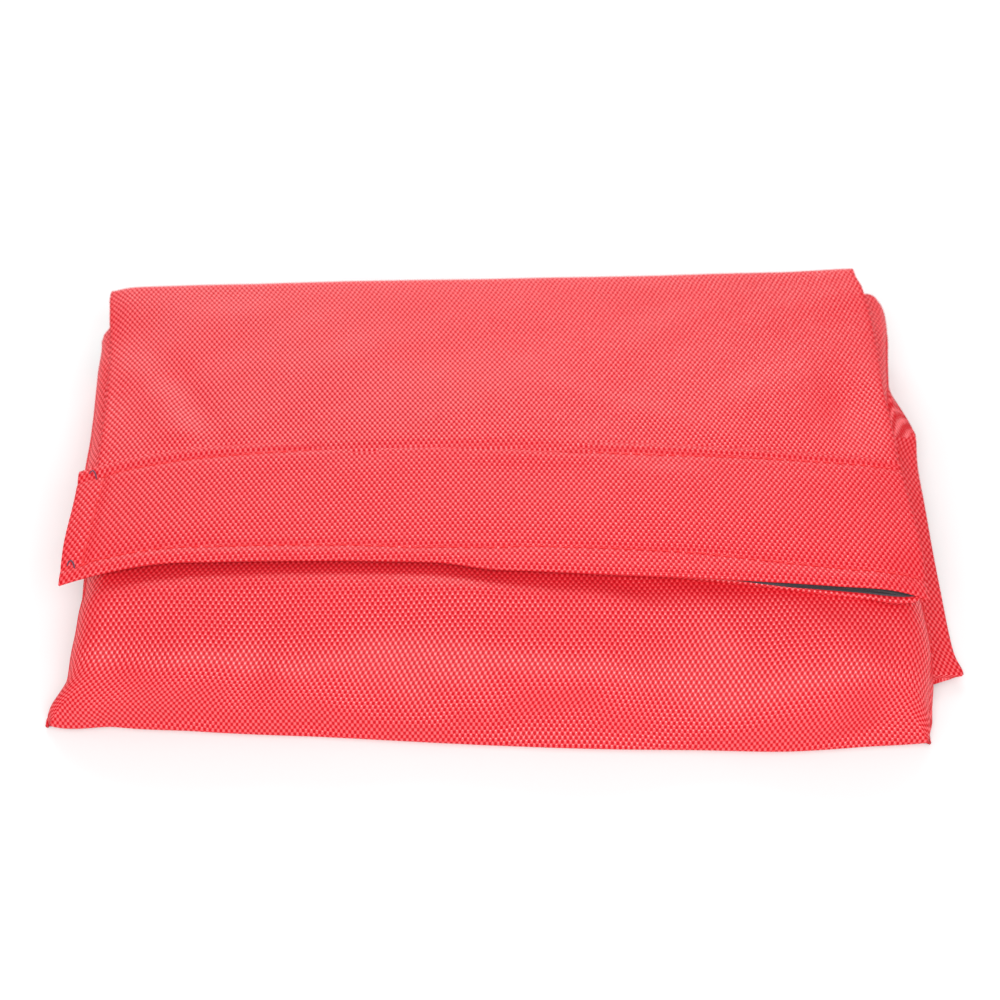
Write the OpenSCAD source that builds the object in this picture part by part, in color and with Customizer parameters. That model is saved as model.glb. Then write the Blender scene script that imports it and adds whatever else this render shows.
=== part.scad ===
// Soft fire blanket pouch: a fabric envelope with a fold-over flap closed by hook-and-loop tape,
// holding a folded glass-cloth blanket with two pull tapes.
// Origin: centre of the underside, on the floor. +Z up, +Y towards the rear fold, +X to the right.

/* [Pouch] */
// Width of the filled pocket, without its seam allowances
pocket_w = 286; // [240:1:340]
// Depth from the front edge to the rear fold
pouch_d = 190; // [180:1:230]
// Height of the front panel's top above the floor
pocket_h = 31.2; // [29:0.1:36]
// Width of the sewn seam allowance on each side
seam_w = 11; // [6:1:16]
// Thickness of one layer of the pouch fabric
fabric_t = 0.8; // [0.6:0.05:0.9]
// Rounding of the pocket's front edge
front_r = 14; // [10:0.5:14]
// Rounding of the pocket's side edges
side_r = 12; // [9:0.5:13]
// Distance from the rear fold to the mouth of the pocket
mouth_gap = 21; // [19:1:26]

/* [Flap] */
// Width of the flap
flap_w = 288; // [240:1:340]
// Depth of the band at the flap's free end
band_d = 55; // [50:1:64]
// Length of the band, across the pouch
band_l = 292; // [240:1:344]
// Distance from the rear fold to the band's ridge
flap_reach = 92; // [88:1:110]
// Rounding of the two bends in the rear fold
fold_r = 10; // [6:0.5:12]

/* [Hook and loop] */
// Length of both tapes, across the pouch
tape_l = 276; // [200:1:280]
// Width of the loop tape
loop_w = 50; // [46:1:50]
// Width of the hook tape
hook_w = 50; // [46:1:50]
// Thickness of the loop tape
loop_t = 1.2; // [0.8:0.1:1.4]
// Thickness of the hook tape
hook_t = 1.1; // [0.8:0.1:1.2]

/* [Blanket] */
// Width of the folded blanket
blanket_w = 268; // [220:1:270]
// Depth of the folded blanket
blanket_d = 160; // [120:1:164]
// Height of the folded blanket
blanket_h = 25.2; // [20:0.1:25.2]
// Number of folded lengths in the stack, an odd number
fold_count = 9; // [5:2:13]
// Width of each pull tape
pull_w = 25; // [20:1:40]
// Free length of each pull tape
pull_l = 62; // [40:1:64]
// Distance of each pull tape from the centre line
pull_x = 85; // [50:1:105]

/* [Thread] */
// Length of one visible stitch
stitch_l = 3.4; // [2:0.1:3.6]
// Distance from one stitch to the next
stitch_pitch = 4.8; // [4.4:0.1:7]
// Width of the thread
thread_w = 0.6; // [0.4:0.05:0.8]

/* [Hidden] */
$fn = 48;
thread_h = 0.3;
eps = 0.1;

// Levels above the floor
pocket_base_z = fabric_t;
mouth_hem_top_z = pocket_h + fabric_t;
loop_top_z = mouth_hem_top_z + loop_t;
hook_clear = 0.4;
flap_under_z = loop_top_z + hook_clear + hook_t;
flap_top_z = flap_under_z + fabric_t;
band_top_z = flap_top_z + fabric_t;

// Lines across the pouch, front to rear
front_y = -pouch_d / 2;
rear_y = pouch_d / 2;
bend_y = rear_y - fold_r;
mouth_y = rear_y - mouth_gap;
mouth_hem_d = 12;
ridge_y = rear_y - flap_reach;
band_front_y = ridge_y - band_d;
band_seam_y = ridge_y - 5.5;
band_hem_seam_y = band_front_y + 5.5;
band_end_seam_x = -band_l / 2 + 4.5;
tape_y = band_front_y + 0.5 + loop_w / 2;

// Loop carrier: a hemmed strip on the front panel that shows just below the band
carrier_d = 55;
carrier_front_y = band_front_y - 2;
carrier_w = pocket_w - 6;

// Seam allowances
allowance_x = pocket_w / 2 + seam_w;
allowance_front_y = front_y + 15;
front_corner_x = pocket_w / 2 + seam_w / 2;

// Blanket stack
blanket_base_z = 3;
blanket_rear_y = mouth_y + 1;
blanket_front_y = blanket_rear_y - blanket_d;
layer_gap = 0.4;
layer_t = (blanket_h - layer_gap * (fold_count - 1)) / fold_count;
blanket_mid_z = blanket_base_z + blanket_h / 2;
stack_end_r = 20;
blanket_top_z = blanket_base_z + blanket_h;
blanket_hem_t = 0.6;
blanket_hem_d = 16;

// Pull tapes: the sewn end lies on the hem, the free length folds back over the mouth
pull_t = 1;
pull_sewn_l = 24;
pull_fold_y = mouth_y + 2;
pull_sewn_z = blanket_top_z + blanket_hem_t;
pull_free_z = mouth_hem_top_z + 0.6;
box_stitch_l = 16;

// Extrudes a section drawn in Y and Z along X, centred on the middle of the pouch
module across(length) {
    rotate([90, 0, 90]) linear_extrude(length, center = true) children();
}

// Extrudes a section drawn in X and Z along Y, from y0 to y1
module lengthwise(y0, y1) {
    translate([0, y1, 0]) rotate([90, 0, 0]) linear_extrude(y1 - y0) children();
}

// Flat strip of cloth or tape, centred on x = 0
module strip(width, y0, y1, z0, thickness) {
    translate([-width / 2, y0, z0]) cube([width, y1 - y0, thickness]);
}

// Row of stitches along X on a face at height z
module stitches_across(length, y, z) {
    count = floor(length / stitch_pitch);
    for (i = [0 : count - 1])
        translate([(i - (count - 1) / 2) * stitch_pitch - stitch_l / 2, y - thread_w / 2, z])
            cube([stitch_l, thread_w, thread_h]);
}

// Row of stitches along Y on a face at height z
module stitches_lengthwise(y0, y1, x, z) {
    count = floor((y1 - y0) / stitch_pitch);
    for (i = [0 : count - 1])
        translate([x - thread_w / 2,
                (y0 + y1) / 2 + (i - (count - 1) / 2) * stitch_pitch - stitch_l / 2, z])
            cube([thread_w, stitch_l, thread_h]);
}

// Pocket section in Y and Z, with a rounded upper front edge, drawn in by an inset
module pocket_section(inset, base_z) {
    y0 = front_y + inset;
    r = front_r - inset;
    top = pocket_h - inset;
    translate([y0 + r, base_z]) square([mouth_y + inset - y0 - r, top - base_z]);
    translate([y0, base_z]) square([r + eps, top - r - base_z]);
    translate([y0 + r, top - r]) circle(r);
}

// Pocket section in X and Z, with rounded upper sides, drawn in by an inset
module pocket_cross_section(inset, base_z) {
    half = pocket_w / 2 - inset;
    r = side_r - inset;
    top = pocket_h - inset;
    translate([-half + r, base_z]) square([2 * (half - r), top - base_z]);
    translate([-half, base_z]) square([2 * half, top - r - base_z]);
    for (side = [-1, 1]) translate([side * (half - r), top - r]) circle(r);
}

// Solid block of the pocket, drawn in by an inset
module pocket_block(inset, base_z) {
    intersection() {
        across(pocket_w + 2) pocket_section(inset, base_z);
        lengthwise(front_y - 1, rear_y) pocket_cross_section(inset, base_z);
    }
}

// Cloth under the blanket, lying on the floor, with pointed front corners
module back_panel() {
    color("#c8202c") linear_extrude(fabric_t) polygon([
        [-front_corner_x, front_y], [front_corner_x, front_y],
        [allowance_x, allowance_front_y], [allowance_x, bend_y],
        [-allowance_x, bend_y], [-allowance_x, allowance_front_y]]);
}

// Cloth over the blanket, down at the front and sides, open at the rear
module front_panel() {
    color("#e83442") {
        difference() {
            pocket_block(0, pocket_base_z);
            pocket_block(fabric_t, pocket_base_z - 1);
        }
        for (side = [-1, 1])
            translate([side * (pocket_w / 2 + seam_w / 2 - fabric_t / 4),
                    (allowance_front_y + mouth_y) / 2, pocket_base_z + fabric_t / 2])
                cube([seam_w + fabric_t / 2, mouth_y - allowance_front_y, fabric_t], center = true);
    }
}

module side_seam(side) {
    color("#a5141f") stitches_lengthwise(allowance_front_y + 4, mouth_y - 4,
        side * (pocket_w / 2 + seam_w / 2), pocket_base_z + fabric_t);
}

module left_side_seam() side_seam(-1);
module right_side_seam() side_seam(1);

// Turned and sewn edge of the pocket's mouth
module mouth_hem() {
    color("#d92a37") strip(pocket_w - 2 * side_r - 4, mouth_y - mouth_hem_d, mouth_y, pocket_h, fabric_t);
}

module mouth_hem_stitching() {
    color("#a5141f") stitches_across(pocket_w - 2 * side_r - 10, mouth_y - mouth_hem_d + 2,
        mouth_hem_top_z);
}

// Hemmed strip that carries the loop tape
module loop_carrier_strip() {
    color("#d92a37") strip(carrier_w, carrier_front_y, carrier_front_y + carrier_d, pocket_h, fabric_t);
}

module carrier_stitching() {
    color("#a5141f") for (y = [carrier_front_y + 2, carrier_front_y + carrier_d - 2])
        stitches_across(carrier_w - 6, y, mouth_hem_top_z);
}

module loop_tape() {
    color("#33343a") strip(tape_l, tape_y - loop_w / 2, tape_y + loop_w / 2, mouth_hem_top_z, loop_t);
}

module loop_tape_stitching() {
    color("#8c1019") for (side = [-1, 1])
        stitches_across(tape_l - 6, tape_y + side * (loop_w / 2 - 1), loop_top_z);
}

// Section of the rear fold's rounded end, drawn in by an inset
module fold_section(inset) {
    y1 = rear_y - inset;
    r = fold_r - inset;
    intersection() {
        union() {
            translate([bend_y - fold_r, inset]) square([y1 - r - bend_y + fold_r, flap_top_z - 2 * inset]);
            translate([bend_y - fold_r, inset + r])
                square([y1 - bend_y + fold_r, flap_top_z - 2 * (inset + r)]);
            for (z = [inset + r, flap_top_z - inset - r]) translate([y1 - r, z]) circle(r);
        }
        translate([bend_y, 0]) square([fold_r, flap_top_z]);
    }
}

// Cloth that turns up behind the pocket and over into the flap
module rear_fold() {
    color("#e83442") across(flap_w) difference() {
        fold_section(0);
        fold_section(fabric_t);
    }
}

module flap_panel() {
    color("#f0404e") strip(flap_w, band_seam_y, bend_y, flap_under_z, fabric_t);
}

// Doubled strip folded round the flap's free end, with its fold at the front
module flap_band() {
    color("#f0404e") across(band_l) {
        translate([band_front_y + fabric_t, flap_top_z]) square([band_d - fabric_t, fabric_t]);
        translate([band_front_y + fabric_t, flap_under_z])
            square([band_seam_y - band_front_y - fabric_t, fabric_t + eps]);
        translate([band_front_y + fabric_t, flap_top_z]) circle(fabric_t);
    }
}

module hook_tape() {
    color("#26272c") strip(tape_l, tape_y - hook_w / 2, tape_y + hook_w / 2,
        flap_under_z - hook_t, hook_t);
}

module band_top_stitching() {
    color("#a5141f") stitches_across(band_l - 14, band_seam_y, band_top_z);
}

module band_bottom_stitching() {
    color("#a5141f") stitches_across(band_l - 14, band_hem_seam_y, band_top_z);
}

module band_end_stitching() {
    color("#a5141f") stitches_lengthwise(band_hem_seam_y + 3, band_seam_y - 3,
        band_end_seam_x, band_top_z);
}

// Short bars of dark thread at the two left corners of the band's stitching
module band_corner_tacks() {
    color("#3a2838") for (y = [band_hem_seam_y, band_seam_y], i = [-1 : 1])
        translate([band_end_seam_x - 3.2, y + i * 2 * thread_w - thread_w / 2, band_top_z])
            cube([2.6, thread_w, thread_h]);
}

// How far the stack's rounded end is drawn in at height z
function end_inset(z) = stack_end_r - sqrt(pow(stack_end_r, 2) - pow(z - blanket_mid_z, 2));

// Outline of the folded stack in Y and Z, with rounded ends
module stack_section() {
    intersection() {
        translate([blanket_front_y, blanket_base_z]) square([blanket_d, blanket_h]);
        union() {
            translate([blanket_front_y + stack_end_r, blanket_base_z])
                square([blanket_d - 2 * stack_end_r, blanket_h]);
            for (y = [blanket_front_y + stack_end_r, blanket_rear_y - stack_end_r])
                translate([y, blanket_mid_z]) circle(stack_end_r);
        }
    }
}

// Accordion-folded glass cloth, drawn as a few thick lengths that each stand for several layers.
// The gap above length k stops short of the fold that joins it to the next: at the rear for an
// even k and at the front for an odd one.
module blanket_cloth() {
    color("#dfe1dc") across(blanket_w) difference() {
        stack_section();
        for (k = [0 : fold_count - 2]) {
            z = blanket_base_z + k * (layer_t + layer_gap) + layer_t;
            shift = (k % 2 == 0 ? -1 : 1) * (layer_t + end_inset(z));
            translate([blanket_front_y + shift, z]) square([blanket_d, layer_gap]);
        }
    }
}

// Turned edge of the blanket's top length
module blanket_hem() {
    rear = blanket_rear_y - end_inset(blanket_top_z);
    color("#d3d6d0") strip(blanket_w, rear - blanket_hem_d, rear, blanket_top_z, blanket_hem_t);
}

module blanket_hem_stitching() {
    side_l = blanket_w / 2 - pull_x - pull_w / 2 - 4;
    rear = blanket_rear_y - end_inset(blanket_top_z);
    color("#f2f2ee") for (side = [-1, 1]) {
        translate([side * (blanket_w - side_l - 4) / 2, 0, 0])
            stitches_across(side_l, rear - 2, blanket_top_z + blanket_hem_t);
    }
    color("#f2f2ee") stitches_across(2 * pull_x - pull_w - 8, rear - 2, blanket_top_z + blanket_hem_t);
}

// Sewn end of a pull tape: flat on the blanket's hem, then up behind the mouth
module pull_tape_end(side) {
    color("#1d1e22") translate([side * pull_x, 0, 0]) across(pull_w) {
        translate([pull_fold_y - pull_sewn_l, pull_sewn_z]) square([pull_sewn_l, pull_t]);
        translate([pull_fold_y - pull_t, pull_sewn_z]) square([pull_t, pull_free_z - 0.2 - pull_sewn_z]);
    }
}

module left_pull_tape_end() pull_tape_end(-1);
module right_pull_tape_end() pull_tape_end(1);

// Square of stitches with one across the middle, holding a pull tape to the hem
module box_stitching(side) {
    y1 = pull_fold_y - 5;
    z = pull_sewn_z + pull_t;
    color("#e9e9e4") translate([side * pull_x, 0, 0]) {
        for (y = [y1 - box_stitch_l, y1 - box_stitch_l / 2, y1]) stitches_across(box_stitch_l, y, z);
        for (x = [-1, 1]) stitches_lengthwise(y1 - box_stitch_l + 1, y1 - 1, x * box_stitch_l * 0.6, z);
    }
}

module left_box_stitching() box_stitching(-1);
module right_box_stitching() box_stitching(1);

// Free length of a pull tape, folded back over the mouth hem under the flap
module pull_tape(side) {
    color("#1d1e22") translate([side * pull_x, 0, 0])
        strip(pull_w, pull_fold_y - pull_l, pull_fold_y, pull_free_z, pull_t);
}

module left_pull_tape() pull_tape(-1);
module right_pull_tape() pull_tape(1);

back_panel();
front_panel();
left_side_seam();
right_side_seam();
mouth_hem();
mouth_hem_stitching();
loop_carrier_strip();
carrier_stitching();
loop_tape();
loop_tape_stitching();
rear_fold();
flap_panel();
flap_band();
hook_tape();
band_top_stitching();
band_bottom_stitching();
band_end_stitching();
band_corner_tacks();
blanket_cloth();
blanket_hem();
blanket_hem_stitching();
left_pull_tape_end();
right_pull_tape_end();
left_box_stitching();
right_box_stitching();
left_pull_tape();
right_pull_tape();
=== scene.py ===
"""A soft red fire blanket pouch: cloth, hook-and-loop tape, thread and the folded blanket inside."""
import math

import bpy
import numpy as np
from mathutils import Matrix, Vector, noise


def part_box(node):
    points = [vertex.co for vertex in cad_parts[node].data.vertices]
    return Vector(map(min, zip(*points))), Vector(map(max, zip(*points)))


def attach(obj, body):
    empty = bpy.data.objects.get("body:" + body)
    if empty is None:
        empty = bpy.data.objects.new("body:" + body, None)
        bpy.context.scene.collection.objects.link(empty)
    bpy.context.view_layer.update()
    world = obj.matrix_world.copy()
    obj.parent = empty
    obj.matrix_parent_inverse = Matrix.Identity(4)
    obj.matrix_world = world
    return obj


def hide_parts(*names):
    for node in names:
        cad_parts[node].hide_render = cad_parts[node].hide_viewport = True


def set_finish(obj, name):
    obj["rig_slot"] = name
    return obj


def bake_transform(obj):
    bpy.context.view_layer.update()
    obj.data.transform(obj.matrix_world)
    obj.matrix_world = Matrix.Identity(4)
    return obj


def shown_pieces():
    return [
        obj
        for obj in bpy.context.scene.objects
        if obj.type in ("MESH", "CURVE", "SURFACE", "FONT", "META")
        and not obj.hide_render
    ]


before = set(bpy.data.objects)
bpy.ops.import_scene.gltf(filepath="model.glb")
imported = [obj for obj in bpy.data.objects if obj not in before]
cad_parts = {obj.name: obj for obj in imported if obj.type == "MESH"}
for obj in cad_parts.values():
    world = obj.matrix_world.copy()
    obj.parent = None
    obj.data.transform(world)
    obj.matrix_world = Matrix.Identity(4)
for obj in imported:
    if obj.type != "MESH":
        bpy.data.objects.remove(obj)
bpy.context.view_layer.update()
MM = 0.001


# ---------------------------------------------------------------- numbers from the frame, in millimetres

def node_mm(name):
    """Lowest and highest corner of a CAD node, in millimetres."""
    low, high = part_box(name)
    return np.array(low) / MM, np.array(high) / MM


pocket_low, pocket_high = node_mm("front_panel")
fold_high = node_mm("rear_fold")[1]
band_low, band_high = node_mm("flap_band")
loop_low, loop_high = node_mm("loop_tape")
hook_low, hook_high = node_mm("hook_tape")
carrier_low, carrier_high = node_mm("loop_carrier_strip")
hem_low, hem_high = node_mm("mouth_hem")
stack_low, stack_high = node_mm("blanket_cloth")

CLOTH = node_mm("back_panel")[1][2]
FRONT_Y = pocket_low[1]
MOUTH_Y = pocket_high[1]
POCKET_TOP = pocket_high[2]
REAR_Y = fold_high[1]
FLAP_TOP = fold_high[2]
WALL_MID = FLAP_TOP / 2
WALL_Y = REAR_Y - 0.3
HALF_W = band_high[0]
LOOP_FACE = loop_high[2] - 0.3
CARRIER_FACE = carrier_high[2] + 0.1
UP = (0, 0, 1)


# ---------------------------------------------------------------- curves, noise and mesh building

def smooth(a, b, x):
    """0 before a, 1 after b, with an eased step between them."""
    t = np.clip((np.asarray(x, float) - a) / (b - a), 0, 1)
    return t * t * (3 - 2 * t)


def hump(x, centre, width):
    """A rounded bump of height 1 at centre."""
    return np.exp(-((np.asarray(x, float) - centre) / width) ** 2)


def spline(*points):
    """A smooth curve y(x) through a few points."""
    xs, ys = np.array(points, float).T
    slope = np.gradient(ys, xs)

    def at(x):
        x = np.clip(np.asarray(x, float), xs[0], xs[-1])
        k = np.clip(np.searchsorted(xs, x) - 1, 0, len(xs) - 2)
        h = xs[k + 1] - xs[k]
        t = (x - xs[k]) / h
        rise = (2 * t**3 - 3 * t**2 + 1) * ys[k] + (3 * t**2 - 2 * t**3) * ys[k + 1]
        return rise + h * ((t**3 - 2 * t**2 + t) * slope[k] + (t**3 - t**2) * slope[k + 1])

    return at


def ripple(x, y, size, seed):
    """Gentle noise between about -1 and 1, with features about size across."""
    x, y = np.broadcast_arrays(np.asarray(x, float), np.asarray(y, float))
    values = [noise.noise(Vector((a / size, b / size, seed))) for a, b in zip(x.ravel(), y.ravel())]
    return np.array(values).reshape(x.shape)


def grid_normals(points):
    """Unit normals of a grid of points, pointing along u cross v."""
    du = np.gradient(points, axis=0)
    dv = np.gradient(points, axis=1)
    n = np.cross(du, dv)
    return n / np.maximum(np.linalg.norm(n, axis=2, keepdims=True), 1e-9)


def arc_uv(points):
    """Cloth coordinates of a grid of points: lengths along its rows and columns, in millimetres."""
    du = np.linalg.norm(np.diff(points, axis=0), axis=2)
    dv = np.linalg.norm(np.diff(points, axis=1), axis=2)
    u = np.vstack([np.zeros((1, points.shape[1])), np.cumsum(du, axis=0)])
    v = np.hstack([np.zeros((points.shape[0], 1)), np.cumsum(dv, axis=1)])
    u -= u[points.shape[0] // 2]
    return np.stack([u, v], axis=2)


def make_mesh(name, verts, faces, uvs):
    """A smooth-shaded mesh object from points in millimetres, with one cloth coordinate per point."""
    mesh = bpy.data.meshes.new(name)
    mesh.from_pydata([tuple(v * MM) for v in np.asarray(verts, float)], [], faces)
    layer = mesh.uv_layers.new(name="cloth")
    index = np.zeros(len(mesh.loops), int)
    mesh.loops.foreach_get("vertex_index", index)
    layer.data.foreach_set("uv", np.asarray(uvs, float)[index].ravel())
    mesh.polygons.foreach_set("use_smooth", [True] * len(mesh.polygons))
    obj = bpy.data.objects.new(name, mesh)
    bpy.context.scene.collection.objects.link(obj)
    return obj


def sheet(name, outer, thickness, uv=None):
    """A closed sheet of cloth. outer is a grid of points with its normal, u cross v, facing out."""
    nu, nv, _ = outer.shape
    uv = arc_uv(outer) if uv is None else uv
    normal = grid_normals(outer)
    thickness = np.broadcast_to(thickness, (nu, nv))[..., None]
    inner = outer - normal * thickness
    border = [(i, 0) for i in range(nu)] + [(nu - 1, j) for j in range(1, nv)]
    border += [(i, nv - 1) for i in range(nu - 2, -1, -1)] + [(0, j) for j in range(nv - 2, 0, -1)]
    verts = list(outer.reshape(-1, 3)) + list(inner.reshape(-1, 3))
    uvs = list(uv.reshape(-1, 2)) * 2
    rim = len(verts)
    for i, j in border:
        inside = (min(max(i, 1), nu - 2), min(max(j, 1), nv - 2))
        away = outer[i, j] - outer[inside]
        away = away / max(np.linalg.norm(away), 1e-9)
        middle = (outer[i, j] + inner[i, j]) / 2 + away * thickness[i, j] * 0.4
        verts.append(middle)
        uvs.append(uv[i, j])
    faces = []
    for i in range(nu - 1):
        for j in range(nv - 1):
            a, b, c, d = i * nv + j, (i + 1) * nv + j, (i + 1) * nv + j + 1, i * nv + j + 1
            faces.append((a, b, c, d))
            faces.append(tuple(k + nu * nv for k in (d, c, b, a)))
    count = len(border)
    for k in range(count):
        m = (k + 1) % count
        a, b = border[k][0] * nv + border[k][1], border[m][0] * nv + border[m][1]
        faces.append((b, a, rim + k, rim + m))
        faces.append((rim + m, rim + k, a + nu * nv, b + nu * nv))
    return make_mesh(name, verts, faces, uvs)


def tube(points, radii, sides=8):
    """Points and faces of a closed round tube along a path."""
    points = np.asarray(points, float)
    tangent = np.gradient(points, axis=0)
    tangent /= np.linalg.norm(tangent, axis=1, keepdims=True)
    guide = np.asarray(UP, float)
    verts, faces = [], []
    for p, t, r in zip(points, tangent, radii):
        side = np.cross(t, guide)
        side /= np.linalg.norm(side)
        lift = np.cross(side, t)
        for k in range(sides):
            a = 2 * math.pi * k / sides
            verts.append(p + r * (side * math.cos(a) + lift * math.sin(a)))
    rings = len(points)
    for i in range(rings - 1):
        for k in range(sides):
            m = (k + 1) % sides
            faces.append((i * sides + k, i * sides + m, (i + 1) * sides + m, (i + 1) * sides + k))
    faces.append(tuple(range(sides - 1, -1, -1)))
    faces.append(tuple((rings - 1) * sides + k for k in range(sides)))
    return verts, faces


def join_parts(name, parts):
    """One mesh object from several (points, faces) pairs, which stay separate solids."""
    verts, faces, uvs = [], [], []
    for number, (points, part_faces) in enumerate(parts):
        start = len(verts)
        verts.extend(points)
        uvs.extend([(p[0] + 7.3 * number, p[1]) for p in points])
        faces.extend([tuple(k + start for k in f) for f in part_faces])
    return make_mesh(name, verts, faces, uvs)


def stitch_parts(path, length=3.3, gap=0.9, thread=0.22):
    """A row of stitches along a path of points. Each one rises out of the cloth and dips back in."""
    path = np.asarray(path, float)
    run = np.concatenate([[0], np.cumsum(np.linalg.norm(np.diff(path, axis=0), axis=1))])
    count = max(1, int((run[-1] + gap) // (length + gap)))
    start = (run[-1] - count * (length + gap) + gap) / 2
    lift = np.asarray(UP, float)
    side = np.cross(lift, path[-1] - path[0])
    side /= np.linalg.norm(side)
    rise = np.array([-1.6, -0.2, 0.75, 1.0, 0.75, -0.2, -1.6]) * thread
    stations = length * np.array([0.0, 0.06, 0.25, 0.5, 0.75, 0.94, 1.0])
    thickness = thread * np.array([0.5, 0.85, 1, 1, 1, 0.85, 0.5])
    parts = []
    for n in range(count):
        s = start + n * (length + gap) + stations
        centre = np.stack([np.interp(s, run, path[:, k]) for k in range(3)], axis=1)
        wobble = 0.1 * math.sin(2.4 * n) * np.array([0, 0.5, 1, 1, 1, 0.5, 0])
        parts.append(tube(centre + rise[:, None] * lift + wobble[:, None] * side, thickness, 6))
    return parts


# ---------------------------------------------------------------- outlines of the pouch, by x or y

def offset(base, *points):
    """A smooth curve that runs at small distances from a CAD face."""
    curve = spline(*points)
    return lambda x: base + curve(x)


ridge_y = offset(band_high[1], (-152, -7), (-143, -4.3), (-124, 0.4), (-110, 3), (-60, 6), (-20, 7),
                 (36, 4), (71, 0.9), (106, -2.8), (146, -7.2))
hem_y = offset(band_low[1], (-152, 0), (-131, 5), (-115, 7.8), (-95, 8.7), (-67, 8.9), (-34, 8.2),
               (-20, 7.4), (-4, 4.4), (12, 3.2), (34, 1.2), (66, -1.6), (99, -4.8), (122, -6.9),
               (134, -8), (146, -9.6))
rear_y = offset(REAR_Y, (-152, -2.6), (-115, -1), (-60, 0.2), (0, 0.7), (79, 1.6), (140, 2.1))
front_y = offset(FRONT_Y, (-154, 14.2), (-137, 8.4), (-102, 4.7), (-58, 1.8), (0, -2.4), (40, -4.4),
                 (65, -5), (95, -5.9), (121, -4.4), (143, -2.3))
panel_left = offset(-HALF_W, (-6, 3.8), (10, 3.2), (32, 2), (62, -0.9), (80, -3.2), (97, -4.4))
panel_right = offset(HALF_W, (-8, -5.6), (12, -5), (30, -5.4), (53, -4.2), (84, -5.8), (97, -7.6))
wall_right = offset(pocket_high[0], (-101, -12.7), (-94, -12.6), (-87, -12), (-80, -10.6), (-74, -9.9),
                    (-60, -10.8), (-40, -11), (0, -10.8), (36, -8.6), (62, -5.4), (77, -3), (86, -3.3),
                    (92, -6))
wall_left = offset(pocket_low[0], (-101, 9), (-85, 8.2), (-72, 8.6), (-58, 10.4), (-40, 10.6), (-20, 7.5),
                   (6, 3.2), (25, 2.7), (36, 2.7), (65, 2), (73, 1.7), (80, 6))
right_root = spline((-101, 1.2), (-75, 4), (-34, 8), (0, 12), (26, 17), (38, 24), (52, 21), (75, 12),
                    (90, 4))
right_rim = spline((-101, 0.9), (-71, 2.8), (-34, 5.5), (0, 9), (22, 12), (30, 15.5), (44, 22), (55, 19),
                   (75, 10), (90, 3))
left_root = spline((-101, 1.0), (-84, 1.6), (-70, 5), (0, 7), (60, 7), (80, 4))
left_reach = offset(pocket_low[0], (-101, 4), (-84, 2.6), (-74, 5.2), (-20, 4.6), (20, 3), (60, 3.4),
                    (80, 7))


def side_wall(side, y):
    """x of the pocket's side wall, on the right (1) or the left (-1)."""
    return wall_right(y) if side > 0 else wall_left(y)


def sewn_edge(side, y):
    """Root height, outer x and outer height of the sewn edge. The left one tucks in below the pocket."""
    if side < 0:
        root = left_root(y)
        return root, np.minimum(left_reach(y), wall_left(y) - 0.5), root * 0.55
    grown = smooth(-75, -72.2, y) * (1 - smooth(26, 46, y))
    width = 11.5 - 0.8 * smooth(-10, 20, y) + 1.2 * hump(y, -71, 4)
    return right_root(y), wall_right(y) + 0.5 + grown * width, right_rim(y)


flap_level = offset(FLAP_TOP, (-152, -1.6), (-142, -0.5), (-90, 0), (60, 0.2), (110, 0.6), (145, 0.5))


def flap_height(x, y):
    """Height of the flap's outer face."""
    z = flap_level(x)
    z = z - 1.6 * smooth(136, 147, x) * (1 - smooth(40, 80, y)) - 0.9 * smooth(-142, -150, x)
    sag = 0.7 * hump(y, 46, 24) * (1 - 0.4 * hump(x, -30, 60))
    past_ridge = smooth(1, 10, y - ridge_y(x))
    across_crease = (x + 112 + 0.55 * (y - 25)) / 1.14
    z = z - sag - 1.0 * hump(across_crease, 3, 6) * smooth(62, 36, y)
    z = z + 1.1 * hump(across_crease, -8, 7) * smooth(64, 30, y) * past_ridge
    z = z - 2.0 * hump(x, 126, 10) * hump(y, 24, 16) + 0.6 * hump(x, 141, 4) * hump(y, 28, 20)
    z = z + 0.35 * hump(y - 38 + 0.43 * (x - 14), 0, 6) * smooth(10, 30, x) * smooth(98, 80, x)
    z = z + (1.4 * smooth(110, 142, x) + 1.2 * smooth(-120, -150, x)) * smooth(62, 86, y)
    return z + (1.3 * ripple(x, y, 52, 3.1) + 0.5 * ripple(x - y, y, 24, 7.7)) * smooth(88, 70, y)


def pocket_height(x, y):
    """Height of the pocket's upper face before its edges round over."""
    calm = smooth(-56, -46, y) * smooth(8, -2, y)
    puff = 1.7 * ripple(x, y, 34, 8.4) + 0.6 * ripple(x + 0.8 * y, y, 15, 2.2)
    tuck = (0.3 * hump(y, hem_y(x), 4) - 1.3 * hump(y, hem_y(x) - 8, 6)) * smooth(90, 20, x)
    tuck = tuck + 1.2 * smooth(118, 136, x) * smooth(36, 56, y)
    return POCKET_TOP - 0.1 - tuck + (1 - calm) * (puff - 0.5) + 0.7 * smooth(8, 30, y) * smooth(74, 50, y)


# ---------------------------------------------------------------- the pocket

# The rounded front: along the path, the share of its way forward and the share of its height.
FACE_PATH = ((0.0, 0.0, 1.0), (0.12, 0.2, 0.988), (0.24, 0.38, 0.925), (0.34, 0.52, 0.842),
             (0.43, 0.64, 0.735), (0.52, 0.74, 0.61), (0.60, 0.82, 0.475), (0.68, 0.89, 0.325),
             (0.76, 0.95, 0.165), (0.84, 0.993, 0.055), (0.91, 0.985, 0.03), (1.0, 0.92, 0.026))
FACE_START = FRONT_Y + 47
TOP_SHARE = 0.42
TOP_COLUMNS = 45
EDGE_X = 134.0
face_out = spline(*[(t, out) for t, out, up in FACE_PATH])
face_up = spline(*[(t, up) for t, out, up in FACE_PATH])
sway = spline((-146, 2.5), (-120, 2.5), (-70, 1.5), (-45, -1), (-22, -3), (0, -0.5), (22, 3), (40, 1),
              (64, -3.5), (90, 0.5), (115, 3), (143, 4))


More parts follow.
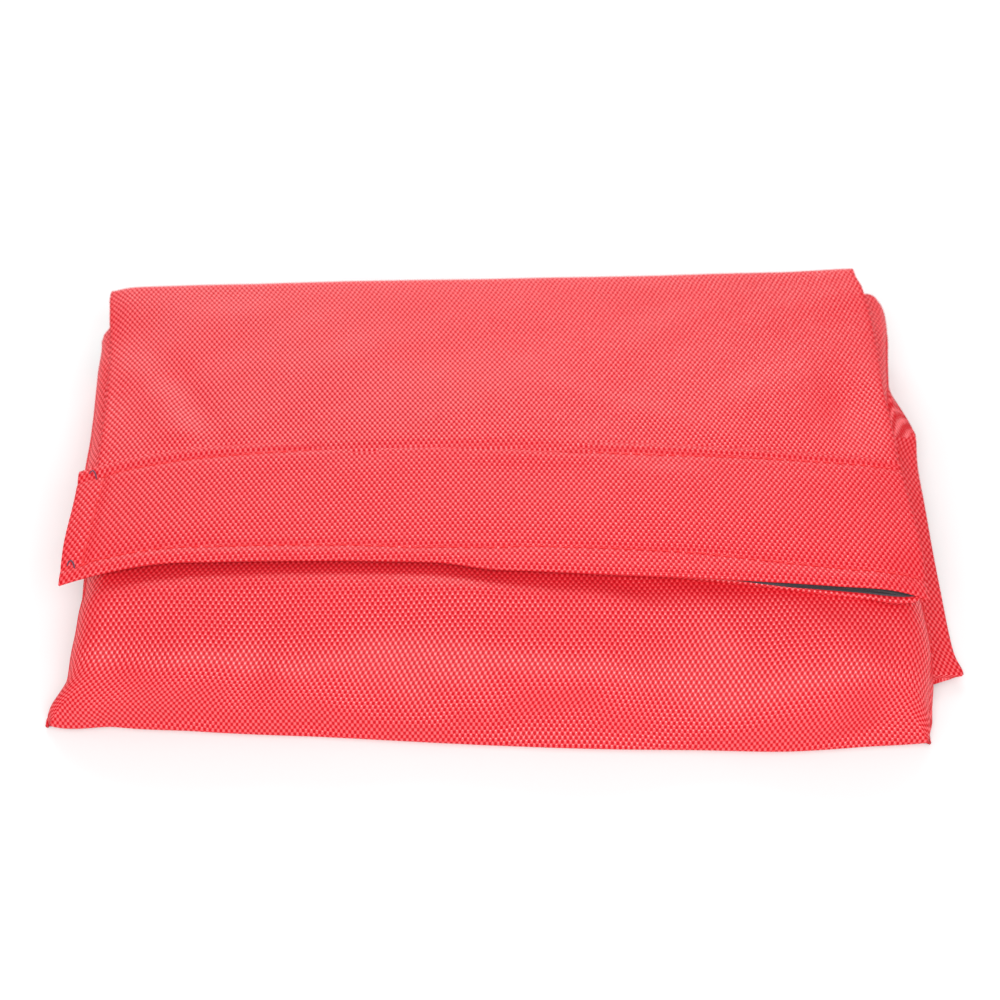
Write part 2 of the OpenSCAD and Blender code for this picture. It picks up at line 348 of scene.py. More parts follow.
def mouth_y(x):
    """The pocket's open edge, which runs further back at the two side walls."""
    return MOUTH_Y + 20.5 * smooth(120, 141, x) + 4 * smooth(-128, -143, x)


def pocket_profile(v, x):
    """Position on the pocket from its mouth (v = 0) over the top and down the front (v = 1)."""
    lip, toe = mouth_y(x), front_y(x)
    back = np.clip(v / TOP_SHARE, 0, 1)
    down = np.clip((v - TOP_SHARE) / (1 - TOP_SHARE), 0, 1)
    on_top = v < TOP_SHARE
    y = np.where(on_top, lip + (FACE_START - lip) * back, FACE_START + (toe - FACE_START) * face_out(down))
    y = y - sway(x) * hump(down, 0.42, 0.2)
    return y, pocket_height(x, y) * np.where(on_top, 1.0, face_up(down))


def side_section(y, top, side, count_round=7, count_wall=8, count_edge=6):
    """x and z from the pocket's upper edge round its side wall and out along the sewn edge."""
    root, reach, low = sewn_edge(side, y)
    wall = side_wall(side, y)
    if side < 0:
        wall = wall - 6.8 * smooth(25, 7, top) * smooth(-70, -80, y)
        reach = np.minimum(reach, wall - 0.8)
    root = np.minimum(root, top * 0.55)
    low = np.minimum(low, top * 0.5)
    radius = np.clip(0.7 * (top - root), 0.05, 12 - 6 * smooth(20, 60, y))
    edge = wall - side * radius
    xs, zs = [], []
    for a in np.linspace(0, math.pi / 2, count_round):
        xs.append(edge + side * radius * math.sin(a))
        zs.append(top - radius * (1 - math.cos(a)))
    for t in np.linspace(0, 1, count_wall + 1)[1:]:
        xs.append(wall + side * (0.9 * math.sin(math.pi * t) + 0.6 * t) * smooth(2, 14, top))
        zs.append(top - radius + (root - top + radius) * t)
    base_x, base_z = xs[-1], zs[-1]
    for t in np.linspace(0, 1, count_edge + 1)[1:]:
        xs.append(base_x + (reach - base_x) * t)
        zs.append(base_z + (low - base_z) * t)
    return edge, xs, zs


def pocket_grid():
    """The front panel, from the right sewn edge over the pocket to the left one."""
    v = np.concatenate([np.linspace(0, TOP_SHARE, TOP_COLUMNS + 1)[:-1], np.linspace(TOP_SHARE, 1, 96)])
    right_y, right_top = pocket_profile(v, EDGE_X)
    left_y, left_top = pocket_profile(v, -EDGE_X)
    right_edge, rx, rz = side_section(right_y, right_top, 1)
    left_edge, lx, lz = side_section(left_y, left_top, -1)
    rows = [np.stack([x, right_y, z], axis=1) for x, z in zip(rx[:0:-1], rz[:0:-1])]
    for t in np.linspace(0, 1, 150):
        x = right_edge + (left_edge - right_edge) * t
        y, z = pocket_profile(v, x)
        at_right, at_left = smooth(0.08, 0, t), smooth(0.92, 1, t)
        pull = at_right * (right_y - pocket_profile(v, right_edge)[0])
        pull = pull + at_left * (left_y - pocket_profile(v, left_edge)[0])
        lift = at_right * (right_top - pocket_profile(v, right_edge)[1])
        lift = lift + at_left * (left_top - pocket_profile(v, left_edge)[1])
        rows.append(np.stack([x, y + pull, z + lift], axis=1))
    rows += [np.stack([x, left_y, z], axis=1) for x, z in zip(lx[1:], lz[1:])]
    grid = np.array(rows)
    x, y, z = grid[..., 0], grid[..., 1], grid[..., 2]
    face = smooth(-60, -78, y) * smooth(0.5, 7, z) * smooth(150, 138, abs(x))
    drift = x - 0.9 * z
    bulge = 2.5 * ripple(drift, z * 1.3, 32, 5.7) + 1.0 * ripple(drift + z, z, 13, 1.3)
    bulge = bulge + 1.2 * hump(drift, 40, 15) * hump(z, 22, 10) - 0.8 * hump(drift, 4, 12) * hump(z, 14, 9)
    grid = grid + grid_normals(grid) * (face * bulge)[..., None]
    grid[..., 2] = np.maximum(grid[..., 2], CLOTH + 0.02)
    return grid


pocket = pocket_grid()
pocket_uv = arc_uv(pocket)
pocket_uv[..., 1] -= pocket_uv[:, TOP_COLUMNS:TOP_COLUMNS + 1, 1]
pocket_cloth = sheet("pocket_cloth", pocket, 0.8, pocket_uv)
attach(pocket_cloth, "pouch")
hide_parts("front_panel")
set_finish(pocket_cloth, "pouch_fabric")


# ---------------------------------------------------------------- the back panel and the rear wall

def wall_point(x, height):
    """y of the rear wall's outer face at a height."""
    wave = 0.5 * ripple(x, height, 30, 4.4) * smooth(4, 14, height) * smooth(34, 28, height)
    return WALL_Y + (rear_y(x) - WALL_Y) * smooth(6, 28, height) + wave


def wall_side(side, height):
    """x of the rear wall's side edge at a height."""
    if side > 0:
        return HALF_W - 3 - 4.6 * smooth(14, 34, height)
    return -HALF_W + 1 - 5.4 * smooth(10, 34, height)


def floor_column(y, across, fade):
    """x and z of the floor panel at a share of its width, from its right edge (1) to its left edge (-1)."""
    right = (wall_right(y) - 6) * fade + wall_side(1, 0) * (1 - fade)
    left = (wall_left(y) + 6) * fade + wall_side(-1, 0) * (1 - fade)
    return left + (right - left) * (across + 1) / 2, np.zeros_like(y)


def edge_column(y, side, outward, fade):
    """x and z of the floor panel's edge, which turns up (outward 0 to 0.5) and runs along the sewn edge."""
    root, reach, low = sewn_edge(side, y)
    wall = side_wall(side, y)
    start = (wall - side * 6) * fade + wall_side(side, 0) * (1 - fade)
    bend = np.clip(outward / 0.5, 0, 1)
    out = np.clip((outward - 0.5) / 0.5, 0, 1)
    x = start + (wall - start) * bend + (reach - side * 0.4 - wall) * out
    z = (np.maximum(root - 0.9, 0) * bend**2 + (low - root) * out) * fade
    return x * fade + (start + side * 0.6 * outward) * (1 - fade), np.maximum(z, 0)


def back_cloth_grid():
    """The back panel on the floor and its turn up into the lower half of the rear wall."""
    corner_r = 3.0
    floor_end = WALL_Y - corner_r
    edge_steps = np.linspace(1, 0, 7)
    columns = [(1, 1, e) for e in edge_steps[:-1]] + [(0, a, a) for a in np.linspace(1, -1, 120)]
    columns += [(-1, -1, e) for e in edge_steps[::-1][1:]]
    rows = []
    for side, place, t in columns:
        toe = front_y(place * 140) + 1.4
        y = toe + (floor_end - toe) * np.linspace(0, 1, 100)
        fade = smooth(86, 70, y)
        x, z = edge_column(y, side, t, fade) if side else floor_column(y, t, fade)
        base_x = x[-1]
        share = (base_x - wall_side(-1, 0)) / (wall_side(1, 0) - wall_side(-1, 0))
        turn = [(base_x, floor_end + corner_r * math.sin(a), corner_r * (1 - math.cos(a))) for a in
                np.linspace(0, math.pi / 2, 9)[1:]]
        wall = []
        for h in np.linspace(corner_r, WALL_MID + 0.2, 12)[1:]:
            wall_x = wall_side(-1, h) + (wall_side(1, h) - wall_side(-1, h)) * share
            wall.append((wall_x, float(wall_point(wall_x, h)), h))
        rows.append(np.vstack([np.stack([x, y, z], axis=1), turn, wall]))
    return np.array(rows)


back_cloth = sheet("back_cloth", back_cloth_grid(), CLOTH)
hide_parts("back_panel")
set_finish(back_cloth, "pouch_fabric")


# ---------------------------------------------------------------- the flap, from the middle of the rear wall

def flap_grid():
    """Up the rear wall, over the soft rear fold and forward to just under the band's ridge."""
    fold = 4.2
    tucked = 5.0
    rows = []
    for t in np.linspace(0, 1, 170):
        points = []
        crown_x = panel_right(90) + (panel_left(90) - panel_right(90)) * t
        top = float(flap_height(crown_x, 86.0))
        for h in np.linspace(WALL_MID + 0.2, top - fold, 14):
            x = wall_side(1, h) + (wall_side(-1, h) - wall_side(1, h)) * t
            points.append((x, float(wall_point(x, h)), h))
        fold_x, rear = points[-1][:2]
        for a in np.linspace(0, math.pi / 2, 12)[1:]:
            points.append((fold_x, rear - fold * (1 - math.cos(a)), top - fold + fold * math.sin(a)))
        front = float(ridge_y(fold_x)) - tucked
        for s in np.linspace(0, 1, 76)[1:]:
            y = rear - fold + (front - rear + fold) * s
            x = panel_right(y) + (panel_left(y) - panel_right(y)) * t
            x = fold_x + (x - fold_x) * float(smooth(0, 0.08, s))
            z = float(flap_height(x, y))
            points.append((x, y, z + (top - z) * float(smooth(0.07, 0, s))))
        rows.append(points)
    grid = np.array(rows)
    grid[..., 2] -= 0.6 * smooth(0, -4, grid[..., 1] - ridge_y(grid[..., 0]))
    return grid


flap = flap_grid()
flap_cloth = sheet("flap_cloth", flap, 0.8)
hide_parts("flap_panel", "rear_fold")
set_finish(flap_cloth, "pouch_fabric")


# ---------------------------------------------------------------- the band along the flap's free end

# The band's face presses down at its left end and lifts at its right, and its lower hem droops below it.
band_height = offset(band_high[2] - 0.2, (-152, -2.4), (-143, -1.2), (-128, -0.4), (-90, -0.9), (-30, -1.1),
                     (30, -0.6), (70, 0), (112, 0.3), (132, -0.2), (146, -2.2))
band_droop = spline((-152, 1.6), (-130, 0.8), (-90, 0.6), (-20, 0.7), (25, 0.6), (62, 0.2), (110, 0),
                    (132, 0.5), (140, 2), (146, 4.4))
# How far the two rows of stitches run from the band's ridge and from its lower edge.
ridge_depth = spline((-150, 5), (-107, 4.4), (-54, 2.6), (0, 3.6), (45, 4.6), (92, 3.6), (146, 3.2))
hem_depth = spline((-152, 5.4), (-54, 6), (-20, 5.9), (-4, 8.4), (34, 10.2), (66, 9.6), (99, 7.4),
                   (122, 6.4), (146, 7))
BAND_HALF_T = 0.8


def end_seam_x(across):
    """x of the stitching at the band's left end."""
    return -HALF_W + 4.2 + 2.6 * (1 - across)


def band_profile(x, across):
    """y and z on the band's upper face, from its ridge (0) to its lower edge (1)."""
    width = ridge_y(x) - hem_y(x)
    depth = width * across
    rest = width - depth
    z = band_height(x) - band_droop(x) * smooth(0.62, 1, across) + 0.25 * smooth(0, 1, across)
    z = z - 0.6 * hump(depth, ridge_depth(x), 1.1) - 0.45 * hump(rest, hem_depth(x), 1.2)
    z = z + 0.2 * hump(depth, 1.6, 1.2) + 0.25 * hump(rest, 2.6, 2)
    field = smooth(6, 14, depth) * smooth(6, 14, rest)
    z = z + field * (0.5 * ripple(x, depth, 24, 6.2) + 0.9 * ripple(x, depth, 60, 1.9))
    z = z - 0.9 * hump(x, end_seam_x(across), 2.0) * smooth(3, 6, depth) * smooth(3, 6, rest)
    return ridge_y(x) - depth, z


def band_edge(side, across):
    """x of the band's two ends. The left end leans out towards its lower corner."""
    if side > 0:
        return HALF_W - 5.2 + 1.1 * across + 0.7 * math.sin(math.pi * across)
    return -HALF_W - 2.5 + 0.3 * math.sin(7 * across)


def band_grid():
    """A flattened tube of cloth: back under the ridge, over the top, round the lower edge and back."""
    turns = [math.radians(a) for a in np.linspace(-75, 75, 6)]
    stations = [("under", a, 0) for a in (0.22, 0.14, 0.08, 0.03)]
    stations += [("ridge", 0, turn) for turn in turns]
    stations += [("top", a, 0) for a in np.linspace(0, 1, 60)[1:-1]]
    stations += [("edge", 1, turn) for turn in turns[::-1]]
    stations += [("under", a, 0) for a in (0.985, 0.96, 0.92, 0.86, 0.8)]
    rows = []
    for t in np.linspace(0, 1, 220):
        points = []
        for kind, a, turn in stations:
            x = band_edge(1, a) + (band_edge(-1, a) - band_edge(1, a)) * t
            y, z = (float(q) for q in band_profile(x, np.array(a)))
            if kind == "under":
                z -= 2 * BAND_HALF_T
            elif kind != "top":
                way = 1 if kind == "ridge" else -1
                y += way * (BAND_HALF_T * math.cos(turn) - 0.2)
                z += BAND_HALF_T * (math.sin(turn) - 1)
            points.append((x, y, z))
        rows.append(points)
    return np.array(rows)


band = band_grid()
band_cloth = sheet("band_cloth", band, 0.6)
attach(band_cloth, "flap")
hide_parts("flap_band")
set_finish(band_cloth, "band_fabric")


# ---------------------------------------------------------------- hook-and-loop tape and its carrier strip

def strip(name, ends, rear, front, top, thickness, count=(160, 26)):
    """A flat strip of tape. rear and front give y for an x, and top gives z for an x and a y."""
    rows = []
    for x in np.linspace(ends[1], ends[0], count[0]):
        ys = np.linspace(float(rear(x)), float(front(x)), count[1])
        rows.append([(x, y, float(top(x, y))) for y in ys])
    return sheet(name, np.array(rows), thickness)


tape_inset = spline((-150, 7), (0, 6.6), (40, 4.8), (75, 2.6), (95, 0.9), (118, 0.2), (136, 0.1), (139, 0.8))
lift_right = spline((-150, -1), (-90, -0.6), (30, -0.5), (75, 0.1), (112, 0.5), (140, -0.4))


def tape_front(x):
    """The two tapes' front edge, which shows past the band at the right."""
    return hem_y(x) + tape_inset(x)


def tape_rear(x):
    """The two tapes' rear edge, hidden under the band's ridge."""
    return ridge_y(x) - 5.6


def hook_top(x, y):
    """The hook tape's upper face, just under the band, following its droop."""
    return band_profile(x, (ridge_y(x) - y) / (ridge_y(x) - hem_y(x)))[1] - 2.1


def loop_top(x, y=0):
    """The loop tape's upper face, which is level from front to rear."""
    return LOOP_FACE + 0.5 * lift_right(x)


hook_tape = strip("hook_tape_cloth", (hook_low[0], hook_high[0] - 0.5), tape_rear, tape_front, hook_top, 0.9)
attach(hook_tape, "flap")
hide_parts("hook_tape")
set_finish(hook_tape, "hook_pile")

loop_tape = strip("loop_tape_cloth", (loop_low[0], loop_high[0]), tape_rear, lambda x: tape_front(x) - 0.2,
                  loop_top, 1.1)
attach(loop_tape, "pouch")
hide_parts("loop_tape")
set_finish(loop_tape, "loop_pile")


carrier_inset = spline((-150, 5), (-60, 5), (0, 4.6), (33, 3.2), (66, 1.7), (88, 0.4), (102, -0.9),
                       (120, -2), (134, -2.6), (138, -1.4), (141, 2))


def carrier_front(x):
    """The carrier strip's hem stays behind the band's edge, and shows past it only on the right."""
    return hem_y(x) + carrier_inset(x)


def carrier_top(x):
    """The carrier strip's upper face, which lifts or dips with the band on the right half."""
    return CARRIER_FACE + 0.5 * float(lift_right(x)) * (x > 0)


def carrier_grid():
    """The strip's upper face, its rounded front fold and the hem turned under."""
    rows = []
    for x in np.linspace(carrier_high[0], carrier_low[0], 200):
        rear, front = float(tape_rear(x)) + 3.0, float(carrier_front(x))
        top = carrier_top(x)
        points = [(x, rear + (front + 1 - rear) * t, top + 0.35 * float(smooth(0.86, 0.97, t))) for t in
                  np.linspace(0, 1, 40)]
        for a in np.linspace(0, math.pi, 9)[1:]:
            points.append((x, front + 1 - math.sin(a), top + 0.35 - 0.95 * (1 - math.cos(a))))
        points += [(x, front + 1 + d, top - 1.55) for d in (1.5, 3, 5, 7)]
        rows.append(points)
    return np.array(rows)


carrier_cloth = sheet("carrier_cloth", carrier_grid(), 0.7)
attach(carrier_cloth, "pouch")
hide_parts("loop_carrier_strip")
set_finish(carrier_cloth, "pouch_fabric")


def mouth_hem_grid():
    """A doubled edge round the pocket's mouth."""
    rows = []
    for x in np.linspace(hem_high[0] - 1, hem_low[0] + 1, 140):
        lip = float(mouth_y(x))
        deep = hem_high[1] - hem_low[1]
        top = float(pocket_height(x, lip - 4)) + 0.75
        points = [(x, lip - deep + 3 + d, top - 3.0) for d in (0, 3, 6)]
        points += [(x, lip - 0.6 + 1.5 * math.cos(a), top - 1.5 + 1.5 * math.sin(a)) for a in
                   np.linspace(-math.pi / 2, math.pi / 2, 10)]
        for d in np.linspace(0, 1, 12)[1:]:
            y = lip - 0.6 - d * (deep - 1)
            points.append((x, y, float(pocket_height(x, y)) + 0.8 - 0.35 * float(smooth(0.85, 1, d))))
        rows.append(points)
    return np.array(rows)


mouth_hem = sheet("mouth_hem_cloth", mouth_hem_grid(), 0.6)
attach(mouth_hem, "pouch")
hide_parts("mouth_hem")
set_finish(mouth_hem, "pouch_fabric")


# ---------------------------------------------------------------- sewing

def run_of(xs, place):
    """A path of points from x values and a function giving y and z."""
    return np.array([(x, *(float(q) for q in place(x))) for x in xs])


def add_thread(name, body, node, path, slot="pouch_thread"):
    """A row of stitches along a path, riding on a body in place of its CAD node."""
    thread = join_parts(name, stitch_parts(path))
    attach(thread, body)
    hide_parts(node)
    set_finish(thread, slot)


def on_ridge(x):
    """y and z of the stitching along the band's ridge."""
    return band_profile(x, ridge_depth(x) / (ridge_y(x) - hem_y(x)))


def on_hem(x):
    """y and z of the stitching along the band's lower edge."""
    return band_profile(x, 1 - hem_depth(x) / (ridge_y(x) - hem_y(x)))


def at_band_end(across):
    """A point on the stitching at the band's left end, from its ridge (0) to its lower edge (1)."""
    y, z = band_profile(end_seam_x(across), np.array(across))
    return end_seam_x(across), float(y), float(z)


def on_mouth_hem(x):
    """y and z of the stitching along the mouth's hem."""
    y = mouth_y(x) - 9.5
    return y, pocket_height(x, y) + 0.8


def seam_path(side, ends):
    """The line of stitches along a sewn edge, at 0.4 of the way out."""
    points = []
    for y in np.linspace(*ends, 120):
        root, reach, low = sewn_edge(side, y)
        wall = side_wall(side, y)
        points.append((float(wall + (reach - wall) * 0.4), y, float(root + (low - root) * 0.4)))
    return points


band_xs = np.linspace(-HALF_W + 3.5, HALF_W - 6, 240)
add_thread("band_top_thread", "flap", "band_top_stitching", run_of(band_xs, on_ridge))
add_thread("band_bottom_thread", "flap", "band_bottom_stitching", run_of(band_xs, on_hem))
add_thread("band_end_thread", "flap", "band_end_stitching",
           [at_band_end(a) for a in np.linspace(0.12, 0.88, 60)])
add_thread("carrier_thread", "pouch", "carrier_stitching",
           run_of(np.linspace(-136, 136, 200), lambda x: (carrier_front(x) + 3.6, carrier_top(x))))
add_thread("loop_tape_thread", "pouch", "loop_tape_stitching",
           run_of(np.linspace(-134, 134, 200), lambda x: (tape_rear(x) - 1.6, loop_top(x))))
add_thread("mouth_hem_thread", "pouch", "mouth_hem_stitching",
           run_of(np.linspace(hem_low[0] + 4, hem_high[0] - 4, 160), on_mouth_hem))
add_thread("left_seam_thread", "pouch", "left_side_seam", seam_path(-1, (-66, 62)))
add_thread("right_seam_thread", "pouch", "right_side_seam", seam_path(1, (-66, 24)))


def tack(x, across, lean):
    """A short loop of loose dark thread."""
    y, z = (float(q) for q in band_profile(x, np.array(across)))
    path = [(x - 1.5, y - 0.4 * lean, z - 0.5), (x - 1.1, y + 0.5, z + 0.25), (x - 0.2, y + 0.9, z + 0.5),
            (x + 0.6, y - 0.1, z + 0.45), (x + 1.1, y - 1.4, z + 0.25), (x + 1.3, y - 2.2, z - 0.5)]
    return tube(path, [0.2, 0.24, 0.26, 0.26, 0.24, 0.18], 8)


corner_tacks = join_parts("corner_tacks", [tack(-HALF_W + 2.9, 0.06, 1), tack(-HALF_W + 1.0, 0.86, 2)])
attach(corner_tacks, "flap")
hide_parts("band_corner_tacks")
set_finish(corner_tacks, "dark_thread")


# ---------------------------------------------------------------- the folded blanket and its pull tapes

LAYERS = 9
LAYER_STEP = (stack_high[2] - stack_low[2] - 2.6) / (LAYERS - 1)
# How far the pocket's rounded front pushes each layer back, by height.
blanket_lean = spline((0, 0), (7, 1.5), (13, 4.5), (19, 10), (24, 16.5), (28.2, 24))


def side_sag(x):
    """How far the stack's top sinks towards its two sides, under the pocket's rounded edges."""
    return 2.2 * float(smooth(112, 134, abs(x)))


def blanket_grid():
    """One long glass-cloth sheet, folded back and forth into a stack."""
    rows = []
    for x in np.linspace(stack_high[0], stack_low[0], 120):
        points = []
        for layer in range(LAYERS):
            z = stack_high[2] - 0.3 - layer * LAYER_STEP - side_sag(x) * (1 - layer / LAYERS)
            wander = 1.2 * noise.noise(Vector((x / 40, layer * 3.1, 0.5)))
            inset = 0.6 * noise.noise(Vector((x / 25, layer * 1.7, 2.5)))
            front = stack_low[1] + 2.4 + wander + float(blanket_lean(z))
            rear = stack_high[1] - 2.4 - wander - 5.0 * float(smooth(3, 7.5, layer))
            start, end, way = (rear, front, -1) if layer % 2 == 0 else (front, rear, 1)
            for t in np.linspace(0, 1, 26):
                y = start + (end - start) * t
                points.append((x, y, z + 0.3 * noise.noise(Vector((x / 30, y / 30, layer)))))
            if layer < LAYERS - 1:
                for a in np.linspace(0, math.pi, 9)[1:-1]:
                    fold = way * (1.7 + inset) * math.sin(a)
                    points.append((x, end + fold, z - LAYER_STEP * (1 - math.cos(a)) / 2))
        rows.append(points)
    return np.array(rows)


blanket_cloth = sheet("blanket_cloth_folds", blanket_grid(), 1.9)
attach(blanket_cloth, "blanket")
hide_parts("blanket_cloth")
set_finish(blanket_cloth, "glass_cloth")


def blanket_hem_grid():
    """The sheet's hemmed end: a doubled edge at the rear of the top layer."""
    low, high = node_mm("blanket_hem")
    rows = []
    for x in np.linspace(high[0], low[0], 120):
        z = high[2] + 0.1 * math.sin(x / 9) - side_sag(x)
        points = [(x, high[1] + 1.6, z - 1.4), (x, high[1] + 2.0, z - 0.8), (x, high[1] + 1.5, z - 0.2)]
        points += [(x, high[1] + 0.8 - (high[1] - low[1]) * t, z + 0.12 * math.sin(4 * t)) for t in
                   np.linspace(0, 1, 16)]
        rows.append(points)
    return np.array(rows)


blanket_hem = sheet("blanket_hem_cloth", blanket_hem_grid(), 0.5)
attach(blanket_hem, "blanket")
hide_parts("blanket_hem")
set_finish(blanket_hem, "glass_cloth")
seam_low, seam_high = node_mm("blanket_hem_stitching")
hem_seam = run_of(np.linspace(seam_low[0], seam_high[0], 100),
                  lambda x: (seam_low[1], stack_high[2] + 0.65 - side_sag(x)))
add_thread("blanket_hem_thread", "blanket", "blanket_hem_stitching", hem_seam, "white_thread")


def webbing_strip(name, body, node, path):
    """A flat woven tape along a path in y and z, with rounded selvedges."""
    low, high = node_mm(node)
    middle, half = (low[0] + high[0]) / 2, (high[0] - low[0]) / 2
    rows = []
    for t in np.linspace(1, -1, 30):
        crown = 0.18 * (1 - t**2) + 0.12 * hump(abs(t), 0.93, 0.05)
        rows.append([(middle + half * t, y, z + crown) for y, z in path])
    strap = sheet(name, np.array(rows), 1.0)
    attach(strap, body)
    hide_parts(node)
    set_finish(strap, "webbing")


def sewn_end_path(low, high, level):
    """y and z of the tape's sewn end: down from the mouth, round a bend and flat along the hem."""
    bend = 1.4
    riser = high[1] + 0.2
    path = [(riser, z) for z in np.linspace(high[2] - 0.2, level + bend, 5)]
    path += [(riser - bend + bend * math.cos(a), level + bend - bend * math.sin(a)) for a in
             np.linspace(0, math.pi / 2, 7)[1:]]
    return path + [(y, level) for y in np.linspace(riser - bend, low[1], 22)[1:]]


def free_path(low, high):
    """y and z of the tape's free length: round the fold at the mouth and forward over the pocket."""
    bend = 1.5
    start, top = high[1] - bend, high[2] - 0.1
    path = [(start + bend * math.cos(a), top - bend + bend * math.sin(a)) for a in
            np.linspace(-1.3, math.pi / 2, 9)]
    run = np.linspace(0, start - low[1], 50)[1:]
    return path + [(start - s, top - 0.25 * math.sin(s / 13)) for s in run]


def box_lines(low, high, level):
    """The sewn box's four sides and its two diagonals, as paths."""
    a, b = (low[0], low[1], level), (high[0], low[1], level)
    c, d = (high[0], high[1], level), (low[0], high[1], level)
    return [np.linspace(start, end, 20) for start, end in ((a, b), (b, c), (c, d), (d, a), (a, c), (b, d))]


for side in ("left", "right"):
    end_low, end_high = node_mm(side + "_pull_tape_end")
    level = end_low[2] + 0.85
    end_path = sewn_end_path(end_low, end_high, level)
    webbing_strip(side + "_tape_end", "blanket", side + "_pull_tape_end", end_path)
    free_node = side + "_pull_tape"
    webbing_strip(side + "_free_tape", free_node, free_node, free_path(*node_mm(free_node)))
    lines = box_lines(*node_mm(side + "_box_stitching"), level + 0.12)
    parts = [part for line in lines for part in stitch_parts(line, 2.6, 0.8, 0.3)]
    box = join_parts(side + "_box_thread", parts)
    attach(box, "blanket")
    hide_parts(side + "_box_stitching")
    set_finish(box, "white_thread")


# ---------------------------------------------------------------- materials

class Graph:
    """A small helper that keeps shader graphs short."""

    def __init__(self, name):
        self.material = bpy.data.materials.new(name)
        self.material.use_nodes = True
        self.tree = self.material.node_tree
        self.shader = self.tree.nodes["Principled BSDF"]

    def put(self, socket, value):
        """Feed a socket from another socket or from a plain value; None leaves it as it is."""
        if isinstance(value, bpy.types.NodeSocket):
            self.tree.links.new(value, socket)
        elif value is not None:
            socket.default_value = value

    def math(self, operation, a, b=None, c=None):
        node = self.tree.nodes.new("ShaderNodeMath")
        node.operation = operation
        for socket, value in zip(node.inputs, (a, b, c)):
            self.put(socket, value)
        return node.outputs[0]

    def mix(self, factor, a, b):
        node = self.tree.nodes.new("ShaderNodeMix")
        node.data_type = "RGBA"
        self.put(node.inputs[0], factor)
        self.put(node.inputs[6], a if isinstance(a, bpy.types.NodeSocket) else (*a, 1))
        self.put(node.inputs[7], b if isinstance(b, bpy.types.NodeSocket) else (*b, 1))
        return node.outputs[2]

    def cloth_uv(self):
        """The two cloth coordinates, in millimetres along the piece."""
        node = self.tree.nodes.new("ShaderNodeUVMap")
        node.uv_map = "cloth"
        split = self.tree.nodes.new("ShaderNodeSeparateXYZ")
        self.tree.links.new(node.outputs[0], split.inputs[0])
        return split.outputs[0], split.outputs[1]

    def towards_edge(self):
        """0 where the surface faces the eye, 1 where it turns away from it."""
        node = self.tree.nodes.new("ShaderNodeLayerWeight")
        node.inputs["Blend"].default_value = 0.5
        return node.outputs["Facing"]

    def noise(self, scale, detail=2.0):
        coords = self.tree.nodes.new("ShaderNodeTexCoord")
        node = self.tree.nodes.new("ShaderNodeTexNoise")
        node.inputs["Scale"].default_value = scale
        node.inputs["Detail"].default_value = detail
        self.tree.links.new(coords.outputs["Object"], node.inputs["Vector"])
        return node.outputs[0]

    def bump(self, height, distance, strength=1.0):
        node = self.tree.nodes.new("ShaderNodeBump")
        node.inputs["Strength"].default_value = strength
        node.inputs["Distance"].default_value = distance
        self.tree.links.new(height, node.inputs["Height"])
        self.tree.links.new(node.outputs[0], self.shader.inputs["Normal"])

    def finish(self, colour, roughness, sheen=0.0, specular=None):
        self.put(self.shader.inputs["Base Color"], colour)
        self.put(self.shader.inputs["Specular IOR Level"], specular)
        self.put(self.shader.inputs["Roughness"], roughness)
        self.shader.inputs["Sheen Weight"].default_value = sheen
        self.shader.inputs["Sheen Roughness"].default_value = 0.45
        return self.material


def weave(name, pitch_u, pitch_v, low, high, depth, roughness=0.38, gloss=1.3, sheen=0.05):
    """A plain weave: yarns pass over and under each other in a checkerboard of small rounded floats, with
    their light and shade painted into the colour.
    """
    g = Graph(name)
    u, v = g.cloth_uv()
    wave_u = g.math("SINE", g.math("MULTIPLY", u, math.pi / pitch_u))
    wave_v = g.math("SINE", g.math("MULTIPLY", v, math.pi / pitch_v))
    checker = g.math("MULTIPLY", wave_u, wave_v)
    over = g.math("MULTIPLY_ADD", checker, 0.9, 0.3)
    over = g.math("MINIMUM", g.math("MAXIMUM", over, 0.0), 1.0)
    # Painted light and shade: the high tone on the floats on top, the low tone on the sunken yarns and in
    # the gaps.
    painted_relief_tone = g.mix(over, low, high)
    patch = g.noise(14, 3)
    shade = g.tree.nodes.new("ShaderNodeHueSaturation")
    g.put(shade.inputs["Value"], g.math("MULTIPLY_ADD", patch, 0.12, 0.94))
    g.put(shade.inputs["Color"], painted_relief_tone)
    matt = g.math("POWER", g.math("MINIMUM", g.math("MULTIPLY", g.towards_edge(), 1.25), 1.0), 2.5)
    shine = g.math("MULTIPLY_ADD", over, gloss, 0.12)
    g.put(g.shader.inputs["Specular IOR Level"], g.math("MULTIPLY", shine, g.math("SUBTRACT", 1.0, matt)))
    g.bump(over, depth * MM)
    return g.finish(shade.outputs[0], g.math("MULTIPLY_ADD", patch, 0.12, roughness - 0.06), sheen)


def ribbed(name, pitch, colour, dark, depth, roughness=0.75, fuzz=0.3):
    """Tape with fine ribs along it and a hairy pile."""
    g = Graph(name)
    along = g.cloth_uv()[1]
    rib = g.math("ABSOLUTE", g.math("SINE", g.math("MULTIPLY", along, math.pi / pitch)))
    fibre = g.noise(2600, 2)
    height = g.math("ADD", rib, g.math("MULTIPLY", fibre, fuzz))
    g.bump(height, depth * MM)
    # The colour is painted darker in the grooves between the ribs, as their shade.
    return g.finish(g.mix(rib, dark, colour), roughness, 0.3, 0.3)


def thread_material(name, colour, dark, roughness=0.5):
    """Twisted thread, with fine slanting plies."""
    g = Graph(name)
    u, v = g.cloth_uv()
    slant = g.math("ADD", u, g.math("MULTIPLY", v, 0.7))
    ply = g.math("ABSOLUTE", g.math("SINE", g.math("MULTIPLY", slant, 9.0)))
    g.bump(ply, 0.06 * MM)
    # The colour is painted darker in the grooves between the plies, as their shade.
    return g.finish(g.mix(ply, dark, colour), roughness, 0.2, 0.4)


